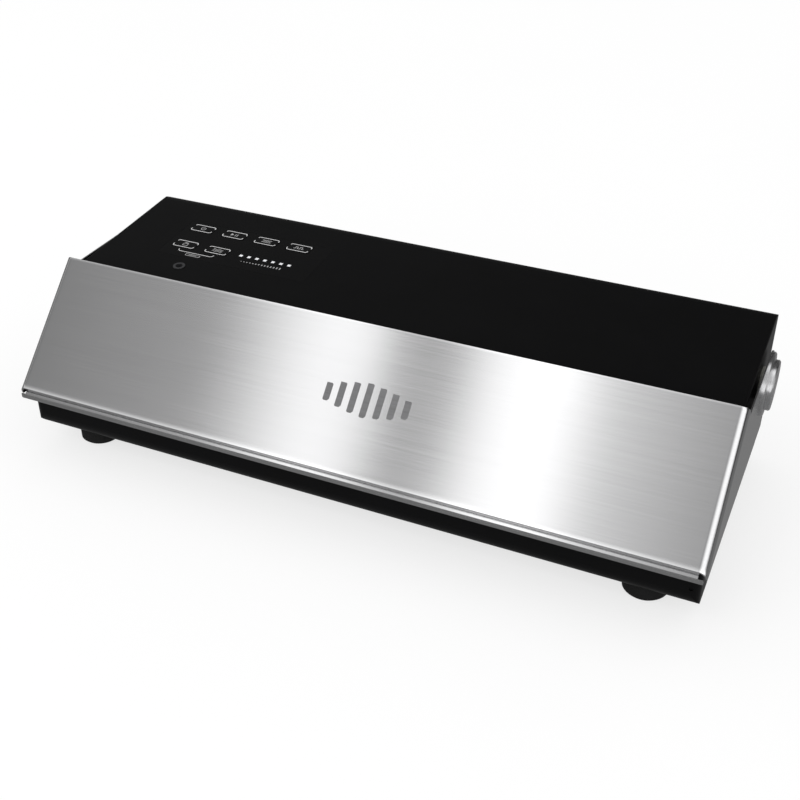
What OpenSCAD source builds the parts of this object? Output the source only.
// Countertop vacuum sealer. A sloping steel lid closes over a sealing deck, and turns on
// two side pivots. Behind it a black housing holds the keys, the pump and the power board.
// X runs across the machine, Y runs from front to back, Z is up.
// The origin is on the table, under the middle of the machine.

/* [Lid] */
// Width of the lid over its two side plates
lid_w = 400; // [330:1:480]
// Length of the sloping front panel, from its lower crease to its top edge
panel_len = 82; // [72:1:100]
// Slope of the front panel, in degrees
panel_slope = 45; // [42:1:48]
// Height of the front crease above the table
crease_h = 41.4; // [39:0.1:50]
// Thickness of the steel sheet
sheet = 0.8; // [0.6:0.1:1]
// Outer radius of the bend between the front panel and a side plate
bend_r = 4.7; // [3.5:0.1:6]
// How far the skirt under the crease bulges forward
skirt_bulge = 0.5; // [0.3:0.1:0.7]

/* [Housing] */
// Depth of the whole machine, from the skirt to the back wall
depth = 168; // [140:1:202]
// Wall thickness of the moulded housings
wall = 2.5; // [2:0.1:3]
// Gap between the housing's side and the lid's side plate
side_gap = 2.5; // [2:0.1:3.5]
// Backward rise of the top face, in degrees
top_tilt = 4.2; // [3:0.1:5]
// How far the top face lies below the lid's top edge
lid_step = 7.2; // [5:0.1:9]
// Gap between the lid's top edge and the housing's front wall
lid_gap = 4.9; // [4:0.1:8]
// Height of the lower housing's underside above the table
foot_h = 11; // [8:0.1:13]
// Height of the lower housing's rim, which is the deck's level
deck_h = 35; // [33:0.1:36]
// Setback of the lower housing's front behind the crease
base_setback = 7; // [6:0.1:9]
// Radius of the lower housing's front edge
base_edge_r = 10; // [6:0.1:11]
// Radius of the top face's rear edge
rear_edge_r = 12; // [8:0.1:16]
// Radius of the housings' upright corners, apart from the one at the left rear
upright_r = 5; // [3:0.1:5.5]
// Radius of the housings' upright corner at the left rear
left_r = 12.6; // [8:0.1:13]
// Radius of the lower housing's edge at the left, under its end
left_edge_r = 9; // [5:0.1:10]
// Radius of a rubber foot
foot_r = 12; // [9:0.1:14]
// Distance of a foot's middle from the end of the lid
foot_inset = 32; // [25:1:40]

/* [Pivot] */
// Distance of the lid's pivot from the back of the machine
pivot_back = 41.5; // [35:0.1:45]
// Distance of the lid's pivot below the top face
pivot_drop = 22.8; // [21.5:0.1:26]
// Radius of the hinge pin
pin_r = 4; // [3:0.1:5]
// Radial clearance of the hinge pin in its bush
pin_clear = 0.05; // [0.02:0.01:0.1]
// Radius of the outer boss on the side plate
boss_r = 17.6; // [15:0.1:18]
// Thickness of the outer boss
boss_t = 1.7; // [1.5:0.1:4]
// Radius of the cap on the boss
cap_r = 13.8; // [11:0.1:14.5]
// Thickness of the cap
cap_t = 2.9; // [1.5:0.1:4]

/* [Sealing deck] */
// Length of the seal bar
seal_len = 310; // [260:1:320]
// Width of the seal bar
seal_w = 10; // [8:0.1:10.5]
// Inner length of the vacuum trough
trough_len = 304; // [260:1:316]
// Inner width of the vacuum trough
trough_w = 18; // [14:0.1:19]
// Depth of the vacuum trough below the deck
trough_d = 15; // [10:0.1:16]
// Width of each foam gasket
gasket_w = 5; // [4:0.1:5.5]

/* [Controls] */
// Distance between neighbouring keys along a row
key_pitch = 22.5; // [18:0.1:25]
// Width of a key
key_w = 15.4; // [12:0.1:16]
// Depth of a key
key_d = 7.6; // [6:0.1:9]
// Travel of a key
key_travel = 0.5; // [0.3:0.1:0.6]
// Distance of the first key from the housing's left end
key_inset = 48; // [44:0.1:54]
// Distance between neighbouring indicator lights
led_pitch = 5.45; // [4.5:0.05:6]
// Bore radius of the hose port
port_bore_r = 2.2; // [1.8:0.1:2.5]
// Bore radius of the power cord's gland
gland_bore_r = 3.6; // [3:0.1:4]

/* [Pump] */
// Outer radius of the pump's motor
motor_r = 20; // [17:0.1:21]
// Length of the pump's motor
motor_len = 60; // [50:1:62]
// Throw of the pump's eccentric
crank_throw = 1.5; // [1:0.1:1.6]

/* [Hidden] */
$fn = 72;
eps = 0.01;
body_w = lid_w - 2 * (sheet + side_gap);
base_w = body_w + 1.6;
end_x = lid_w / 2;
front_y = -depth / 2;
back_y = depth / 2;
crease_y = front_y + skirt_bulge;
base_y = crease_y + base_setback;

// Directions along the front panel, and out of it.
along = [cos(panel_slope), sin(panel_slope)];
outward = [-sin(panel_slope), cos(panel_slope)];
panel_top = [crease_y, crease_h] + panel_len * along;

// The front wall of the upper housing, and its sloping top face.
wall_y = panel_top[0] + lid_gap;
top_front_z = panel_top[1] - lid_step;
pivot_y = back_y - pivot_back;
pivot_z = top_z(pivot_y) - pivot_drop;
roof = 3;

// The lid's inner parts swing past the housing's top front corner with this to spare.
swing_clear = 1.5;
corner_r = norm([pivot_y - wall_y, pivot_z - top_front_z]);
liner_back_y = pivot_y - corner_r - swing_clear;
liner_front_y = crease_y + 4.5;
liner_w = lid_w - 12;
liner_z = deck_h + 3;
liner_t = 2.5;
plate_r = boss_r + 0.6;

// The skirt, and its hem that runs on past it at both ends.
skirt_end = end_x - bend_r + 0.5;
hem_end = end_x - 1.5;
hem_y = crease_y - skirt_bulge;
hem_top_z = crease_h - 3.8;
hem_foot_z = deck_h - 0.7;
plate_bottom_z = deck_h + 1;

// Deck, seal bar and gaskets, from front to back.
deck_t = 3;
deck_inset = 0.2;
seal_y = base_y + wall + 1 + seal_w / 2;
gasket_front_y = seal_y + seal_w / 2 + 2.5;
gasket_land = 3;
trough_y = gasket_front_y + gasket_w + gasket_land + trough_w / 2;
trough_wall = 2;
seal_gap = 0.15;
gasket_meet_z = deck_h + 1.5;
gasket_groove = 1.5;
gasket_l = trough_len + 2 * (gasket_w + gasket_land);
gasket_d = trough_w + 2 * (gasket_w + gasket_land);

// Key and light places on the top face: across, and back from the front wall.
key_x0 = -body_w / 2 + key_inset;
row_front_s = 44.8;
row_back_s = 65.4;
led_x0 = key_x0 + 38.8;
led_n = 7;
led_w = 2;
port_at = [key_x0 + 10.4, 20.8];
port_r = 3.6;
port_depth = 8;
port_duct_r = 1.4;
overlay_t = 0.5;
overlay_x = [key_x0 - 12, key_x0 + 4 * key_pitch - 2];
overlay_s = [31, 72];
key_gap = 0.25;
key_proud = 0.2;
key_base_t = 1.2;
stem_w = 5;
stem_l = 3.6;
board_drop = 9;
board_t = 1.6;
switch_h = 2.6;

// The pump lies across the machine, behind the middle of the deck.
pump_y = wall_y + port_at[1] + 25.5;
floor_z = foot_h + wall;
cushion_h = 10.5;
pump_z = floor_z + cushion_h + motor_r;
motor_x = -10;
shaft_r = 1.5;
shaft_clear = 0.05;
crank_x = [-32, -26];
crank_r = 6;
crankcase_x = [-46, motor_x - 0.2];
crankcase_half = 19;
crankcase_top = 20;
fan_x = motor_x + motor_len + 5;
fan_r = 17;
head_h = 10;
diaphragm_t = 1.5;
rod_rise = 15;
rod_head_r = 8.5;

// The power board stands near the right end, and the cord's gland is behind it.
board_x = body_w / 2 - 108;
power_y = wall_y + 36;
power_z = floor_z + 7;
power_size = [84, 62];
gland_x = body_w / 2 - 46.7;
gland_z = (foot_h + deck_h) / 2 + 0.5;
gland_r = 6.5;
gland_flange_r = 8.6;
gland_flange_t = 1.5;
gland_len = 10;
fit_gap = 0.1;

// The valve stands under the hose port.
valve_size = [26, 22, 26];
valve_z = floor_z;
hose_r = 3.4;
hose_bore_r = 2;
spigot_r = 1.95;
spigot_l = 8;

screw_r = 1.5;
screw_hole_r = 1.55;

// Height of the top face above the table, at y.
function top_z(y) = top_front_z + (y - wall_y) * tan(top_tilt);

// A point beside the front panel: s up the slope, out of it by n.
function by_panel(s, n) = [crease_y, crease_h] + s * along + n * outward;

// Extrudes a Y-Z outline across the machine, from x0 to x1.
module across(x0, x1) {
    translate([x0, 0, 0]) rotate([90, 0, 90]) linear_extrude(x1 - x0) children();
}

// A rod along X.
module rod_x(x0, x1, r) {
    translate([x0, 0, 0]) rotate([0, 90, 0]) cylinder(h = x1 - x0, r = r);
}

// Moves its children to the pivot's axis.
module at_pivot() {
    translate([0, pivot_y, pivot_z]) children();
}

// Moves its children to the motor's axis.
module at_motor() {
    translate([0, pump_y, pump_z]) children();
}

// Puts its children on the top face: x across, y back from the front wall, z out of the face.
module on_top() {
    translate([0, wall_y, top_front_z]) rotate([top_tilt, 0, 0]) children();
}

// Repeats its children on the right and, mirrored, on the left.
module both_sides() {
    children();
    mirror([1, 0, 0]) children();
}

// A rectangle with round corners, centred.
module rounded(w, d, r) {
    square([w - 2 * r, d], center = true);
    square([w, d - 2 * r], center = true);
    for (x = [-1, 1], y = [-1, 1]) translate([x * (w / 2 - r), y * (d / 2 - r)]) circle(r);
}

// A centred rectangle with its own radius at two of its left corners, and one on the right.
module uneven(w, d, left_low, left_high, right) {
    difference() {
        square([w, d], center = true);
        for (c = [[-1, -1, left_low], [-1, 1, left_high], [1, -1, right], [1, 1, right]])
            translate([c[0] * (w / 2 - c[2]), c[1] * (d / 2 - c[2])]) difference() {
                translate((c[2] + 1) / 2 * [c[0] - 1, c[1] - 1]) square(c[2] + 1);
                circle(c[2]);
            }
    }
}

// A centred block between two heights.
module block(w, d, z0, z1) {
    translate([-w / 2, -d / 2, z0]) cube([w, d, z1 - z0]);
}

// ---- Fixed housings ----

foot_at = [end_x - foot_inset, base_y + foot_r + 8.5, back_y - foot_r - 9];

// The four feet's middles.
module at_feet() {
    for (x = [-1, 1], y = [foot_at[1], foot_at[2]]) translate([x * foot_at[0], y, 0]) children();
}

// The two pairs of posts that hold the housings together, and the height where they meet.
post_y = [wall_y + 12, back_y - 17];
post_z = floor_z + 12.2;

module at_posts(y) {
    for (x = [-1, 1]) translate([x * (body_w / 2 - 12), y, 0]) children();
}

// Outline of the lower housing seen from the side.
module lower_outline() {
    difference() {
        translate([base_y, foot_h]) square([back_y - base_y, deck_h - foot_h]);
        difference() {
            translate([base_y - eps, foot_h - eps]) square(base_edge_r + eps);
            translate([base_y, foot_h] + base_edge_r * [1, 1]) circle(base_edge_r);
        }
    }
}

// The space within the lower housing's outline, made smaller all round by t.
module lower_space(t) {
    tall = deck_h - foot_h + 20;
    translate([0, (base_y + back_y) / 2, 0]) intersection() {
        linear_extrude(deck_h + 10)
            uneven(base_w - 2 * t, back_y - base_y - 2 * t, upright_r - t, left_r - t, upright_r - t);
        translate([0, depth / 2, foot_h + t]) rotate([90, 0, 0]) linear_extrude(depth)
            translate([0, tall / 2]) uneven(base_w - 2 * t, tall, left_edge_r - t, 1, 1);
    }
}

module lower_housing() {
    mid_y = (base_y + back_y) / 2;
    len_y = back_y - base_y;
    vent_n = 9;
    color("#141414") difference() {
        union() {
            difference() {
                intersection() {
                    across(-base_w / 2, base_w / 2) lower_outline();
                    lower_space(0);
                }
                intersection() {
                    union() {
                        translate([0, mid_y + base_edge_r / 2 - wall / 2, 0])
                            block(base_w, len_y - base_edge_r - wall, floor_z, deck_h + 1);
                        translate([0, mid_y, 0]) block(base_w, len_y, foot_h + base_edge_r, deck_h + 1);
                    }
                    lower_space(wall);
                }
            }
            at_feet() translate([0, 0, floor_z - eps]) cylinder(h = 7, r = 4.5);
            for (y = post_y) at_posts(y) translate([0, 0, floor_z - eps]) cylinder(h = 12, r = 4.5);
            for (x = [0.1, 0.9], y = [0.1, 0.9])
                translate([board_x + x * power_size[0], power_y + (y - 0.5) * power_size[1], floor_z])
                    translate([0, 0, -eps]) cylinder(h = power_z - floor_z, r = 3.5);
            translate([gland_x, back_y - wall + eps, gland_z]) rotate([90, 0, 0]) cylinder(h = 5, r = 9.5);
        }
        at_feet() translate([0, 0, foot_h - 1]) cylinder(h = 9, r = screw_hole_r);
        for (y = post_y) at_posts(y) translate([0, 0, foot_h - 1]) {
            cylinder(h = deck_h, r = screw_hole_r);
            cylinder(h = 7, r = 3.2);
        }
        translate([gland_x, back_y + 1, gland_z]) rotate([90, 0, 0]) {
            cylinder(h = gland_len + 4, r = gland_r + fit_gap);
            cylinder(h = gland_flange_t + 1, r = gland_flange_r + fit_gap);
        }
        for (i = [0:vent_n - 1])
            translate([fan_x - 30 + 6 * i, pump_y + 16, foot_h - 1]) cube([2.4, 24, wall + 2]);
        translate([base_w / 2 - 4.5, base_y - 1, foot_h + 13])
            rotate([-90, 0, 0]) cylinder(h = 1.6, r = 1.1);
    }
}

// Outline of the upper housing seen from the side, made smaller by t.
module upper_outline(t) {
    r = rear_edge_r - t;
    y1 = back_y - t;
    c = [y1 - r, top_z(y1 - r) - (r + t) / cos(top_tilt)];
    difference() {
        polygon([
            [wall_y + t, deck_h], [y1, deck_h],
            [y1, top_z(y1) - t / cos(top_tilt)],
            [wall_y + t, top_z(wall_y + t) - t / cos(top_tilt)]
        ]);
        difference() {
            polygon([c, c + (r + 3) * [-sin(top_tilt), cos(top_tilt)], c + (r + 3) * [1, 1], c + [r + 3, 0]]);
            translate(c) circle(r);
        }
    }
}

module upper_housing() {
    mid_y = (wall_y + back_y) / 2;
    len_y = back_y - wall_y;
    edge_r = 1.6;
    color("#161616") difference() {
        union() {
            difference() {
                intersection() {
                    across(-body_w / 2, body_w / 2) upper_outline(0);
                    translate([0, mid_y, 0]) linear_extrude(top_z(back_y) + 1)
                        uneven(body_w, len_y, upright_r, left_r, upright_r);
                    on_top() translate([0, len_y * 1.2, -top_front_z]) rotate([90, 0, 0])
                        linear_extrude(len_y * 1.4) translate([0, top_front_z / 2])
                        rounded(body_w, top_front_z, edge_r);
                }
                intersection() {
                    union() {
                        across(-body_w / 2, body_w / 2) intersection() {
                            upper_outline(wall);
                            upper_outline(roof);
                        }
                        translate([0, mid_y, 0]) block(body_w, len_y, deck_h - 1, deck_h + 4);
                    }
                    translate([0, mid_y, deck_h - 2]) linear_extrude(top_z(back_y)) uneven(
                        body_w - 2 * wall, len_y - 2 * wall, upright_r - wall, left_r - wall, upright_r - wall);
                }
            }
            both_sides() at_pivot() rod_x(body_w / 2 - 13, body_w / 2 - wall / 2, pin_r + 6);
            for (y = post_y) at_posts(y) translate([0, 0, post_z])
                cylinder(h = top_z(y) - roof / 2 - post_z, r = 4.5);
            on_top() at_board_posts() translate([0, 0, -board_drop]) cylinder(h = board_drop - roof + 0.5, r = 3);
        }
        for (y = post_y) at_posts(y) translate([0, 0, floor_z]) cylinder(h = 25, r = screw_hole_r);
        both_sides() at_pivot() rod_x(body_w / 2 - 20, body_w / 2 + 1, pin_r + 2.5 + fit_gap);
        on_top() {
            translate([overlay_x[0], overlay_s[0], -overlay_t - 0.02])
                cube([overlay_x[1] - overlay_x[0], overlay_s[1] - overlay_s[0], overlay_t + 1]);
            for (k = [0:5]) at_key(k) {
                block(key_w + 2 * key_gap, key_d + 2 * key_gap, -overlay_t - key_base_t - key_travel, 1);
                block(stem_w + 1, stem_l + 1, -roof - 3, 1);
            }
            at_leds() block(led_w + 0.1, led_w + 0.1, -roof - 3, 1);
            translate([port_at[0], port_at[1], -roof - 1]) cylinder(h = roof + 2, r = port_r + 0.05);
            at_board_posts() translate([0, 0, -board_drop - 1]) cylinder(h = 5.5, r = screw_hole_r);
        }
        translate([gland_x, back_y - 12, gland_z]) rotate([-90, 0, 0]) cylinder(h = 7, r = 9.8);
    }
}

// The control board's four screw posts, on the top face's axes.
module at_board_posts() {
    for (x = [overlay_x[0] + 4, overlay_x[1] - 4], y = [overlay_s[0] - 2, overlay_s[1] + 2])
        translate([x, y, 0]) children();
}

// ---- Controls ----

// Moves its children to key k: four in the back row, then two in the front row.
module at_key(k) {
    x = key_x0 + key_pitch * (k < 4 ? k : k - 4);
    translate([x, k < 4 ? row_back_s : row_front_s, 0]) children();
}

module at_leds() {
    for (i = [0:led_n - 1]) translate([led_x0 + led_pitch * i, row_front_s + 0.2, 0]) children();
}

module control_overlay() {
    color("#101010") on_top() difference() {
        translate([overlay_x[0] + 0.1, overlay_s[0] + 0.1, -overlay_t])
            cube([overlay_x[1] - overlay_x[0] - 0.2, overlay_s[1] - overlay_s[0] - 0.2, overlay_t]);
        for (k = [0:5]) at_key(k) block(key_w + 2 * key_gap, key_d + 2 * key_gap, -1, 1);
        at_leds() block(led_w + 0.1, led_w + 0.1, -1, 1);
    }
}

module key(k) {
    color("#1a1a1a") on_top() at_key(k) {
        block(key_w, key_d, -overlay_t - key_base_t, key_proud);
        block(stem_w, stem_l, -board_drop + switch_h + key_travel + 0.1, -overlay_t - key_base_t + eps);
    }
}

module light_pipes() {
    color("white") on_top() at_leds() block(led_w, led_w, -board_drop + 2, 0.05);
}

module indicator_leds() {
    color("ivory") on_top() at_leds() block(1.8, 1.8, -board_drop, -board_drop + 1.6);
}

module key_switches() {
    color("silver") on_top() for (k = [0:5]) at_key(k) {
        block(6, 6, -board_drop, -board_drop + switch_h - 0.8);
        translate([0, 0, -board_drop]) cylinder(h = switch_h, r = 1.6);
    }
}

module control_board() {
    color("#1d5a33") on_top() difference() {
        translate([overlay_x[0] - 2, overlay_s[0] - 7, -board_drop - board_t])
            cube([overlay_x[1] - overlay_x[0] + 4, overlay_s[1] - overlay_s[0] + 14, board_t]);
        at_board_posts() translate([0, 0, -board_drop - board_t - 1]) cylinder(h = 4, r = screw_hole_r);
    }
}

module board_screws() {
    color("silver") on_top() at_board_posts() translate([0, 0, -board_drop - board_t - 1.5]) {
        cylinder(h = 1.5, r = 2.8);
        cylinder(h = 6.5, r = screw_r);
    }
}

module hose_port() {
    color("#3c3c3c") on_top() translate([port_at[0], port_at[1], 0]) difference() {
        union() {
            translate([0, 0, -roof - 1.2]) cylinder(h = roof + 1.2 + 0.4, r = port_r);
            translate([0, 0, -roof - 1.2]) cylinder(h = 1.2, r = port_r + 2);
            translate([0, 0, -roof - 9]) cylinder(h = 9, r = port_bore_r + 0.8);
        }
        translate([0, 0, -roof - 10]) cylinder(h = roof + 12, r = port_duct_r);
        translate([0, 0, -port_depth]) cylinder(h = port_depth + 1, r = port_bore_r);
    }
}

// ---- Sealing deck ----

module seal_deck() {
    color("#1b1b1b") difference() {
        y0 = base_y + wall + deck_inset;
        y1 = wall_y - deck_inset;
        inset = wall + deck_inset;
        translate([0, (y0 + y1) / 2, deck_h - deck_t]) linear_extrude(deck_t)
            uneven(base_w - 2 * inset, y1 - y0, upright_r - inset, 1, upright_r - inset);
        translate([0, trough_y, 0])
            block(trough_len + 2 * trough_wall + 0.2, trough_w + 2 * trough_wall + 0.2, 0, deck_h - 1.4);
        translate([0, trough_y, 0]) block(trough_len, trough_w, 0, deck_h + 1);
        translate([0, trough_y, 0]) gasket_ring(deck_h - gasket_groove, deck_h + 1, 0.1);
        translate([0, seal_y, 0]) block(seal_len + 0.4, seal_w + 0.4, deck_h - 1.5, deck_h + 1);
        for (x = [-1, 1]) translate([x * (base_w / 2 - 14), seal_y, 0])
            translate([0, 0, deck_h - deck_t - 1]) cylinder(h = deck_t + 2, r = screw_hole_r);
    }
}

// A ring with round corners between two heights, wider by c on both faces.
module gasket_ring(z0, z1, c) {
    translate([0, 0, z0]) linear_extrude(z1 - z0) difference() {
        rounded(gasket_l + 2 * c, gasket_d + 2 * c, gasket_w + 1);
        rounded(gasket_l - 2 * gasket_w - 2 * c, gasket_d - 2 * gasket_w - 2 * c, 2);
    }
}

module vacuum_trough() {
    z1 = deck_h - 1.5;
    color("#202020") translate([0, trough_y, 0]) difference() {
        block(trough_len + 2 * trough_wall, trough_w + 2 * trough_wall, deck_h - trough_d - trough_wall, z1);
        block(trough_len, trough_w, deck_h - trough_d, z1 + 1);
        translate([port_at[0], 0, deck_h - trough_d + 5]) rotate([-90, 0, 0]) cylinder(h = trough_w, r = hose_bore_r);
    }
}

module lower_gasket() {
    color("#2b2b2b") translate([0, trough_y, 0])
        gasket_ring(deck_h - gasket_groove, gasket_meet_z - seal_gap, 0);
}

module seal_bar() {
    color("#30302c") translate([0, seal_y, 0]) block(seal_len, seal_w, deck_h - 1.5, deck_h + 0.8);
}

module heating_strip() {
    color("silver") translate([0, seal_y, 0]) block(seal_len - 6, 3, deck_h + 0.8, deck_h + 1);
}

module release_tape() {
    color("#6b5537") translate([0, seal_y, 0]) difference() {
        block(seal_len - 2, seal_w - 1, deck_h + 0.8, deck_h + 1.15);
        block(seal_len - 6, 3, deck_h, deck_h + 1);
    }
}

// ---- Feet and fasteners ----

module foot(x, y) {
    color("#0e0e0e") translate([x * foot_at[0], y, 0]) rotate_extrude() polygon([
        [3.5, 0], [foot_r - 1.2, 0], [foot_r, 1.2], [foot_r, foot_h - 1], [foot_r - 0.5, foot_h],
        [screw_hole_r, foot_h], [screw_hole_r, foot_h - 3], [3.5, foot_h - 3]
    ]);
}

module foot_screws() {
    color("silver") at_feet() {
        translate([0, 0, foot_h - 5]) cylinder(h = 2, r = 3);
        translate([0, 0, foot_h - 5]) cylinder(h = 12, r = screw_r);
    }
}

module housing_screws() {
    color("silver") for (y = post_y) at_posts(y) translate([0, 0, foot_h + 4]) {
        cylinder(h = 2, r = 3);
        cylinder(h = 22, r = screw_r);
    }
    color("silver") for (x = [-1, 1]) translate([x * (base_w / 2 - 14), seal_y, deck_h - 6]) {
        cylinder(h = 6.5, r = screw_r);
        translate([0, 0, 6]) cylinder(h = 0.9, r = 2.8);
    }
}

// ---- Pivots ----

// Bush on the right: a sleeve in the housing with a flange beside the side plate.
module pivot_bush() {
    color("#d8d8d0") at_pivot() difference() {
        union() {
            rod_x(body_w / 2 - 13, body_w / 2, pin_r + 2.5);
            rod_x(body_w / 2, body_w / 2 + side_gap - 0.3, pin_r + 5);
        }
        rod_x(0, end_x, pin_r + pin_clear);
    }
}

// Pin on the right: it stands in the side plate and the boss, and turns in the bush.
module hinge_pin() {
    color("silver") at_pivot() {
        rod_x(body_w / 2 - 14.5, end_x + boss_t - 0.5, pin_r);
        rod_x(body_w / 2 - 16, body_w / 2 - 14.5 + eps, pin_r + 1.5);
    }
}

// Outer boss on the right, on the steel side plate.
module pivot_boss() {
    color("#c9c9c9") at_pivot() difference() {
        translate([end_x, 0, 0]) rotate([0, 90, 0]) rotate_extrude() polygon([
            [0, 0], [boss_r, 0], [boss_r, boss_t - 0.6], [boss_r - 0.6, boss_t], [0, boss_t]
        ]);
        rod_x(0, end_x + boss_t - 0.5, pin_r + pin_clear);
    }
}

// Cap on the right, over the boss, with a fine groove between the two.
module pivot_cap() {
    x0 = end_x + boss_t;
    color("#b5b5b5") at_pivot() translate([x0, 0, 0]) rotate([0, 90, 0]) rotate_extrude() polygon([
        [0, 0], [cap_r - 0.6, 0], [cap_r - 0.6, 0.4], [cap_r, 0.4],
        [cap_r, cap_t - 0.6], [cap_r - 0.6, cap_t], [0, cap_t]
    ]);
}

// ---- Lid ----

// Outline of a side plate: it follows the front panel and ends in a lobe round the pivot.
module side_outline() {
    polygon([
        [crease_y, crease_h], panel_top, panel_top - 5 * outward,
        [wall_y + 1.5, top_z(wall_y) - 0.8],
        [pivot_y, pivot_z + plate_r], [pivot_y + plate_r, pivot_z],
        [pivot_y + plate_r, plate_bottom_z], [crease_y + 2.2, plate_bottom_z]
    ]);
    translate([pivot_y, pivot_z]) circle(plate_r);
}

// Section through the front panel and the side plates, square to the slope, made smaller by t.
module lid_section(t) {
    w = lid_w - 2 * t;
    r = bend_r - t;
    reach = depth;
    translate([-w / 2, -reach]) square([w, reach - t - r]);
    translate([-w / 2 + r, -reach]) square([w - 2 * r, reach - t]);
    for (x = [-1, 1]) translate([x * (w / 2 - r), -t - r]) circle(r);
}

// The skirt's outline below the crease, with its notch, its bulge and its hem.
module skirt_outline() {
    polygon([
        by_panel(0, 0), [crease_y + 1.9, crease_h - 2.2], [crease_y + 0.3, crease_h - 3],
        [hem_y, hem_top_z], [hem_y + sheet, hem_top_z - 0.3],
        [crease_y + 2.9, crease_h - 2.4], by_panel(0.6, -sheet)
    ]);
    hem_outline();
}

// The upright band under the notch, turned in along its lower edge.
module hem_outline() {
    polygon([
        [hem_y, hem_top_z], [hem_y, hem_foot_z + 1], [hem_y + 0.5, hem_foot_z],
        [hem_y + 2, hem_foot_z], [hem_y + 2, hem_foot_z + 1.2],
        [hem_y + sheet, hem_foot_z + 1.4], [hem_y + sheet, hem_top_z - 0.3]
    ]);
}

module lid_shell() {
    color("#c4c6c8") difference() {
        union() {
            intersection() {
                translate([0, crease_y, crease_h]) rotate([panel_slope - 90, 0, 0])
                    translate([0, 0, -depth / 2]) linear_extrude(depth * 2)
                    mirror([0, 1]) difference() {
                        lid_section(0);
                        translate([0, -1]) lid_section(sheet);
                        lid_section(sheet);
                    }
                across(-end_x - 1, end_x + 1) side_outline();
            }
            across(-skirt_end, skirt_end) skirt_outline();
            across(-hem_end, hem_end) hem_outline();
        }
        both_sides() at_pivot() rod_x(body_w / 2, end_x + 5, pin_r + pin_clear);
    }
}

// Outline of the liner's solid part, open towards the panel.
module liner_outline() {
    difference() {
        polygon([
            [liner_front_y, liner_z], [liner_back_y, liner_z],
            [liner_back_y, liner_top_z()], [liner_front_y, liner_low_z()]
        ]);
        children();
    }
}

// Distance between the panel's outer face and the liner.
outward_gap = sheet + 0.3;

// Heights of the plane just under the panel, at the liner's back and front walls.
function under_panel_z(y) = crease_h + (y - crease_y) * tan(panel_slope) - outward_gap / cos(panel_slope);
function liner_top_z() = under_panel_z(liner_back_y);
function liner_low_z() = under_panel_z(liner_front_y);

module lid_liner() {
    rib_n = 6;
    y0 = liner_front_y + liner_t;
    y1 = liner_back_y - liner_t;
    color("#1c1a19") difference() {
        intersection() {
            union() {
                across(-liner_w / 2, liner_w / 2) liner_outline()
                    polygon([[y0, liner_z + 4], [y1, liner_z + 4], [y1, 200], [y0, 200]]);
                for (x = [-1, 1]) across(x * (liner_w - liner_t) / 2 - liner_t / 2,
                    x * (liner_w - liner_t) / 2 + liner_t / 2) liner_outline();
                for (i = [1:rib_n]) {
                    x = -liner_w / 2 + liner_w * i / (rib_n + 1);
                    across(x - 1, x + 1) liner_outline();
                }
            }
            across(-liner_w / 2, liner_w / 2)
                polygon([[liner_front_y, liner_z], [liner_back_y, liner_z],
                    [liner_back_y, min(liner_top_z(), panel_top[1] - 3)],
                    [liner_back_y - 4, liner_top_z() - 4 * tan(panel_slope)],
                    [liner_front_y, liner_low_z()]]);
        }
        translate([0, trough_y, 0]) gasket_ring(liner_z - 1, liner_z + gasket_groove, 0.1);
        translate([0, seal_y, 0]) block(seal_len + 0.4, seal_w + 0.4, liner_z - 1, liner_z + 1.5);
        translate([0, trough_y, 0]) block(trough_len - 4, trough_w - 3, liner_z - 1, liner_z + 2.5);
    }
}

module upper_gasket() {
    color("#2b2b2b") translate([0, trough_y, 0])
        gasket_ring(gasket_meet_z + seal_gap, liner_z + gasket_groove, 0);
}

module press_strip() {
    color("#5a5a58") translate([0, seal_y, 0])
        block(seal_len, seal_w, deck_h + 1.15 + 2 * seal_gap, liner_z + 1.5);
}

module liner_screws() {
    color("silver") for (x = [-1, 1])
        translate([x * (liner_w / 2 - 9), trough_y, liner_z - 0.9]) cylinder(h = 0.9, r = 2.8);
}

module lid_magnet() {
    color("gray") translate([liner_w / 2 - 20, trough_y, liner_z - 0.9]) cylinder(h = 0.9, r = 3);
}

module lid_sensor() {
    color("gray") translate([liner_w / 2 - 20, trough_y, 0]) block(12, 5, deck_h - deck_t - 4, deck_h - deck_t);
}

// ---- Pump ----

module motor_case() {
    color("#8a8d90") at_motor() difference() {
        rod_x(motor_x, motor_x + motor_len, motor_r);
        rod_x(motor_x + 2, motor_x + motor_len - 2, motor_r - 2);
        rod_x(motor_x - 1, motor_x + motor_len + 1, shaft_r + shaft_clear);
    }
}

module motor_magnets() {
    color("#303030") at_motor() difference() {
        rod_x(motor_x + 8, motor_x + motor_len - 8, motor_r - 2);
        rod_x(motor_x + 7, motor_x + motor_len - 7, motor_r - 5);
    }
}

module rotor() {
    color("#b87333") at_motor() {
        rod_x(crank_x[0] - 2, fan_x + 6, shaft_r);
        rod_x(motor_x + 10, motor_x + motor_len - 10, motor_r - 6);
        rod_x(motor_x + motor_len - 8, motor_x + motor_len - 4, 5);
    }
}

module eccentric() {
    color("silver") at_motor() difference() {
        translate([0, 0, crank_throw]) rod_x(crank_x[0], crank_x[1], crank_r);
        rod_x(crank_x[0] - 1, crank_x[1] + 1, shaft_r);
    }
}

module cooling_fan() {
    blade_n = 7;
    color("#202020") at_motor() difference() {
        union() {
            rod_x(fan_x, fan_x + 5, 5);
            for (i = [0:blade_n - 1]) rotate([360 * i / blade_n, 0, 0])
                translate([fan_x, -0.7, 3.5]) cube([5, 1.4, fan_r - 3.5]);
        }
        rod_x(fan_x - 1, fan_x + 6, shaft_r);
    }
}

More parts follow.
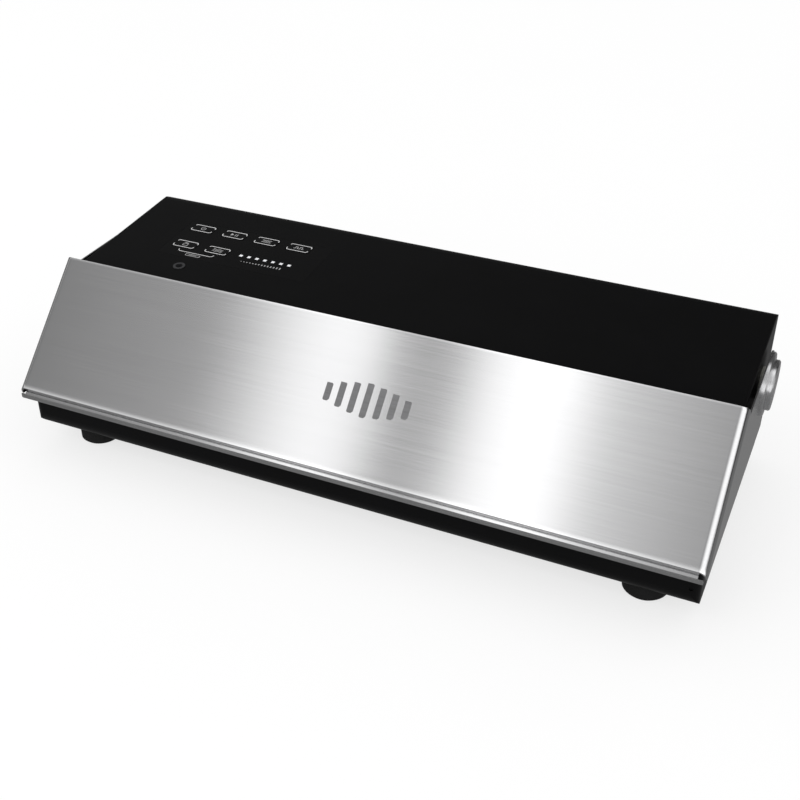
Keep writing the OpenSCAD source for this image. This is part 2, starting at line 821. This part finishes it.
module connecting_rod() {
    w = crank_x[1] - crank_x[0];
    color("#d9d9d4") at_motor() translate([crank_x[0], 0, crank_throw]) difference() {
        union() {
            rod_x(0, w, crank_r + 3);
            translate([0, -3, crank_r]) cube([w, 6, rod_rise - crank_r + 1]);
            translate([w / 2, 0, rod_rise]) cylinder(h = 2, r = rod_head_r);
        }
        rod_x(-1, w + 1, crank_r + shaft_clear);
    }
}

module crankcase() {
    mid = (crank_x[0] + crank_x[1]) / 2;
    color("#3a3a3c") at_motor() difference() {
        translate([crankcase_x[0], -crankcase_half, -motor_r])
            cube([crankcase_x[1] - crankcase_x[0], 2 * crankcase_half, motor_r + crankcase_top]);
        rod_x(crankcase_x[0] + 3, crankcase_x[1] - 3, 13);
        translate([mid, 0, 0]) cylinder(h = crankcase_top + 1, r = rod_head_r + 3);
        rod_x(crankcase_x[0] + 3, crankcase_x[1] + 1, shaft_r + 1);
        for (x = [-1, 1], y = [-1, 1]) translate([mid + 14 * x, 15 * y, crankcase_top - 10])
            cylinder(h = 12, r = screw_hole_r);
    }
}

module diaphragm() {
    mid = (crank_x[0] + crank_x[1]) / 2;
    color("#111111") at_motor() translate([mid, 0, crankcase_top])
        cylinder(h = diaphragm_t, r = rod_head_r + 4);
}

module pump_head() {
    mid = (crank_x[0] + crank_x[1]) / 2;
    z0 = crankcase_top;
    color("#4a4a4c") at_motor() translate([mid, 0, 0]) difference() {
        union() {
            block(34, 2 * crankcase_half - 2, z0, z0 + head_h);
            translate([-17 + eps, 0, z0 + 6]) rotate([0, -90, 0]) cylinder(h = spigot_l, r = spigot_r);
        }
        translate([0, 0, z0 - 1]) cylinder(h = 1 + diaphragm_t, r = rod_head_r + 4.1);
        translate([0, 0, z0 - 1]) cylinder(h = 4.5, r = rod_head_r);
        for (x = [-1, 1], y = [-1, 1]) translate([14 * x, 15 * y, z0 - 1]) cylinder(h = head_h + 2, r = screw_hole_r);
    }
}

module pump_screws() {
    mid = (crank_x[0] + crank_x[1]) / 2;
    color("silver") at_motor() for (x = [-1, 1], y = [-1, 1])
        translate([mid + 14 * x, 15 * y, crankcase_top - 8]) {
            cylinder(h = 8 + head_h + 0.5, r = screw_r);
            translate([0, 0, 8 + head_h]) cylinder(h = 2, r = 2.8);
        }
}

module pump_cushion() {
    color("#1a1a1a") translate([0, pump_y, 0]) difference() {
        translate([crankcase_x[0] + 2, -14, floor_z])
            cube([motor_x + motor_len - crankcase_x[0] - 6, 28, cushion_h + 3]);
        translate([crankcase_x[0], -15, floor_z + cushion_h])
            cube([motor_x - crankcase_x[0] + 1, 30, 10]);
        translate([0, 0, pump_z]) rod_x(motor_x - 1, motor_x + motor_len + 1, motor_r + 0.02);
    }
}

// ---- Power, valve and hoses ----

module power_board() {
    color("#7a5a2a") translate([board_x, power_y - power_size[1] / 2, power_z])
        cube([power_size[0], power_size[1], board_t]);
}

module transformer() {
    z0 = power_z + board_t;
    color("#c8b400") translate([board_x + 26, power_y, 0]) {
        block(40, 34, z0, z0 + 26);
        block(20, 44, z0, z0 + 22);
    }
}

module capacitors() {
    z0 = power_z + board_t;
    color("#2c4a7a") for (i = [0:2]) translate([board_x + 62, power_y + 16 * (i - 1), z0]) cylinder(h = 20, r = 7);
}

module cord_gland() {
    color("#181818") translate([gland_x, back_y, gland_z]) rotate([90, 0, 0]) difference() {
        union() {
            cylinder(h = gland_flange_t, r = gland_flange_r);
            cylinder(h = gland_len, r = gland_r);
        }
        translate([0, 0, -1]) cylinder(h = gland_len + 2, r = gland_bore_r);
    }
}

valve_at = [port_at[0], wall_y + port_at[1] + 4];

module release_valve() {
    color("#2e2e30") translate([valve_at[0], valve_at[1], 0]) {
        block(valve_size[0], valve_size[1], valve_z, valve_z + valve_size[2]);
        translate([valve_size[0] / 2 - eps, 0, valve_z + 20]) rotate([0, 90, 0]) cylinder(h = spigot_l, r = spigot_r);
    }
    color("#2e2e30") intersection() {
        on_top() translate([port_at[0], port_at[1], -100]) cylinder(h = 100 - roof - 28, r = spigot_r);
        translate([valve_at[0], valve_at[1], 0]) block(60, 60, valve_z + 10, 200);
    }
}

module port_hose() {
    color("#c9c9c4") difference() {
        on_top() translate([port_at[0], port_at[1], -roof - 38]) difference() {
            cylinder(h = 38 - 9.1, r = hose_r);
            translate([0, 0, -1]) cylinder(h = 40, r = hose_bore_r);
        }
        translate([valve_at[0], valve_at[1], 0])
            block(valve_size[0] + 20, valve_size[1] + 20, 0, valve_z + valve_size[2]);
    }
}

// The pump hose's route: along X from the valve, up, back, and along X to the pump's head.
hose_bend = 9;
hose_start = [valve_at[0] + valve_size[0] / 2 + spigot_l, valve_at[1], valve_z + 20];
hose_end = [(crank_x[0] + crank_x[1]) / 2 - 17 - spigot_l, pump_y, pump_z + crankcase_top + 6];
hose_turn_x = hose_end[0] - 16;

// Points of a quarter bend about c, from direction u round to direction v.
function bend_points(c, u, v) = [for (a = [0:15:90]) c + hose_bend * (cos(a) * u + sin(a) * v)];

hose_route = concat(
    [hose_start],
    bend_points([hose_turn_x - hose_bend, hose_start[1], hose_start[2] + hose_bend], [0, 0, -1], [1, 0, 0]),
    bend_points([hose_turn_x, hose_start[1] + hose_bend, hose_end[2] - hose_bend], [0, -1, 0], [0, 0, 1]),
    bend_points([hose_turn_x + hose_bend, hose_end[1] - hose_bend, hose_end[2]], [-1, 0, 0], [0, 1, 0]),
    [hose_end]
);

function unit(v) = v / norm(v);

// Direction of a route at its point i.
function heading(route, i) = unit(route[min(i + 1, len(route) - 1)] - route[max(i - 1, 0)]);

// One sideways direction per point, carried along the route without twisting.
function sideways(route, list, i = 1) = i == len(route) ? list
    : sideways(route, concat(list, [unit(cross(heading(route, i), cross(list[i - 1], heading(route, i))))]), i + 1);

// A solid tube of radius r swept along a route, with n sides.
module sweep_tube(route, r, n) {
    side = sideways(route, [[0, 1, 0]]);
    m = len(route);
    points = [for (i = [0:m - 1], k = [0:n - 1])
        route[i] + r * (cos(360 * k / n) * side[i] + sin(360 * k / n) * cross(heading(route, i), side[i]))];
    walls = [for (i = [0:m - 2], k = [0:n - 1])
        [i * n + k, (i + 1) * n + k, (i + 1) * n + (k + 1) % n, i * n + (k + 1) % n]];
    polyhedron(points, concat(walls, [[for (k = [0:n - 1]) k]], [[for (k = [n - 1:-1:0]) (m - 1) * n + k]]));
}

module pump_hose() {
    color("#c9c9c4") sweep_tube(hose_route, hose_r, 12);
}

lower_housing();
upper_housing();
control_overlay();
key(0);  // key_1
key(1);  // key_2
key(2);  // key_3
key(3);  // key_4
key(4);  // key_5
key(5);  // key_6
light_pipes();
indicator_leds();
key_switches();
control_board();
hose_port();
seal_deck();
vacuum_trough();
lower_gasket();
seal_bar();
heating_strip();
release_tape();
foot(-1, foot_at[1]);  // foot_front_left
foot(1, foot_at[1]);  // foot_front_right
foot(-1, foot_at[2]);  // foot_rear_left
foot(1, foot_at[2]);  // foot_rear_right
foot_screws();
housing_screws();
board_screws();
mirror([1, 0, 0]) pivot_bush();  // pivot_bush_left
pivot_bush();  // pivot_bush_right
lid_sensor();
cord_gland();
power_board();
transformer();
capacitors();
pump_cushion();
crankcase();
diaphragm();
pump_head();
pump_screws();
motor_case();
motor_magnets();
rotor();
eccentric();
cooling_fan();
connecting_rod();
release_valve();
port_hose();
pump_hose();
lid_shell();
lid_liner();
upper_gasket();
press_strip();
liner_screws();
lid_magnet();
mirror([1, 0, 0]) hinge_pin();  // hinge_pin_left
hinge_pin();  // hinge_pin_right
mirror([1, 0, 0]) pivot_boss();  // pivot_boss_left
pivot_boss();  // pivot_boss_right
mirror([1, 0, 0]) pivot_cap();  // pivot_cap_left
pivot_cap();  // pivot_cap_right
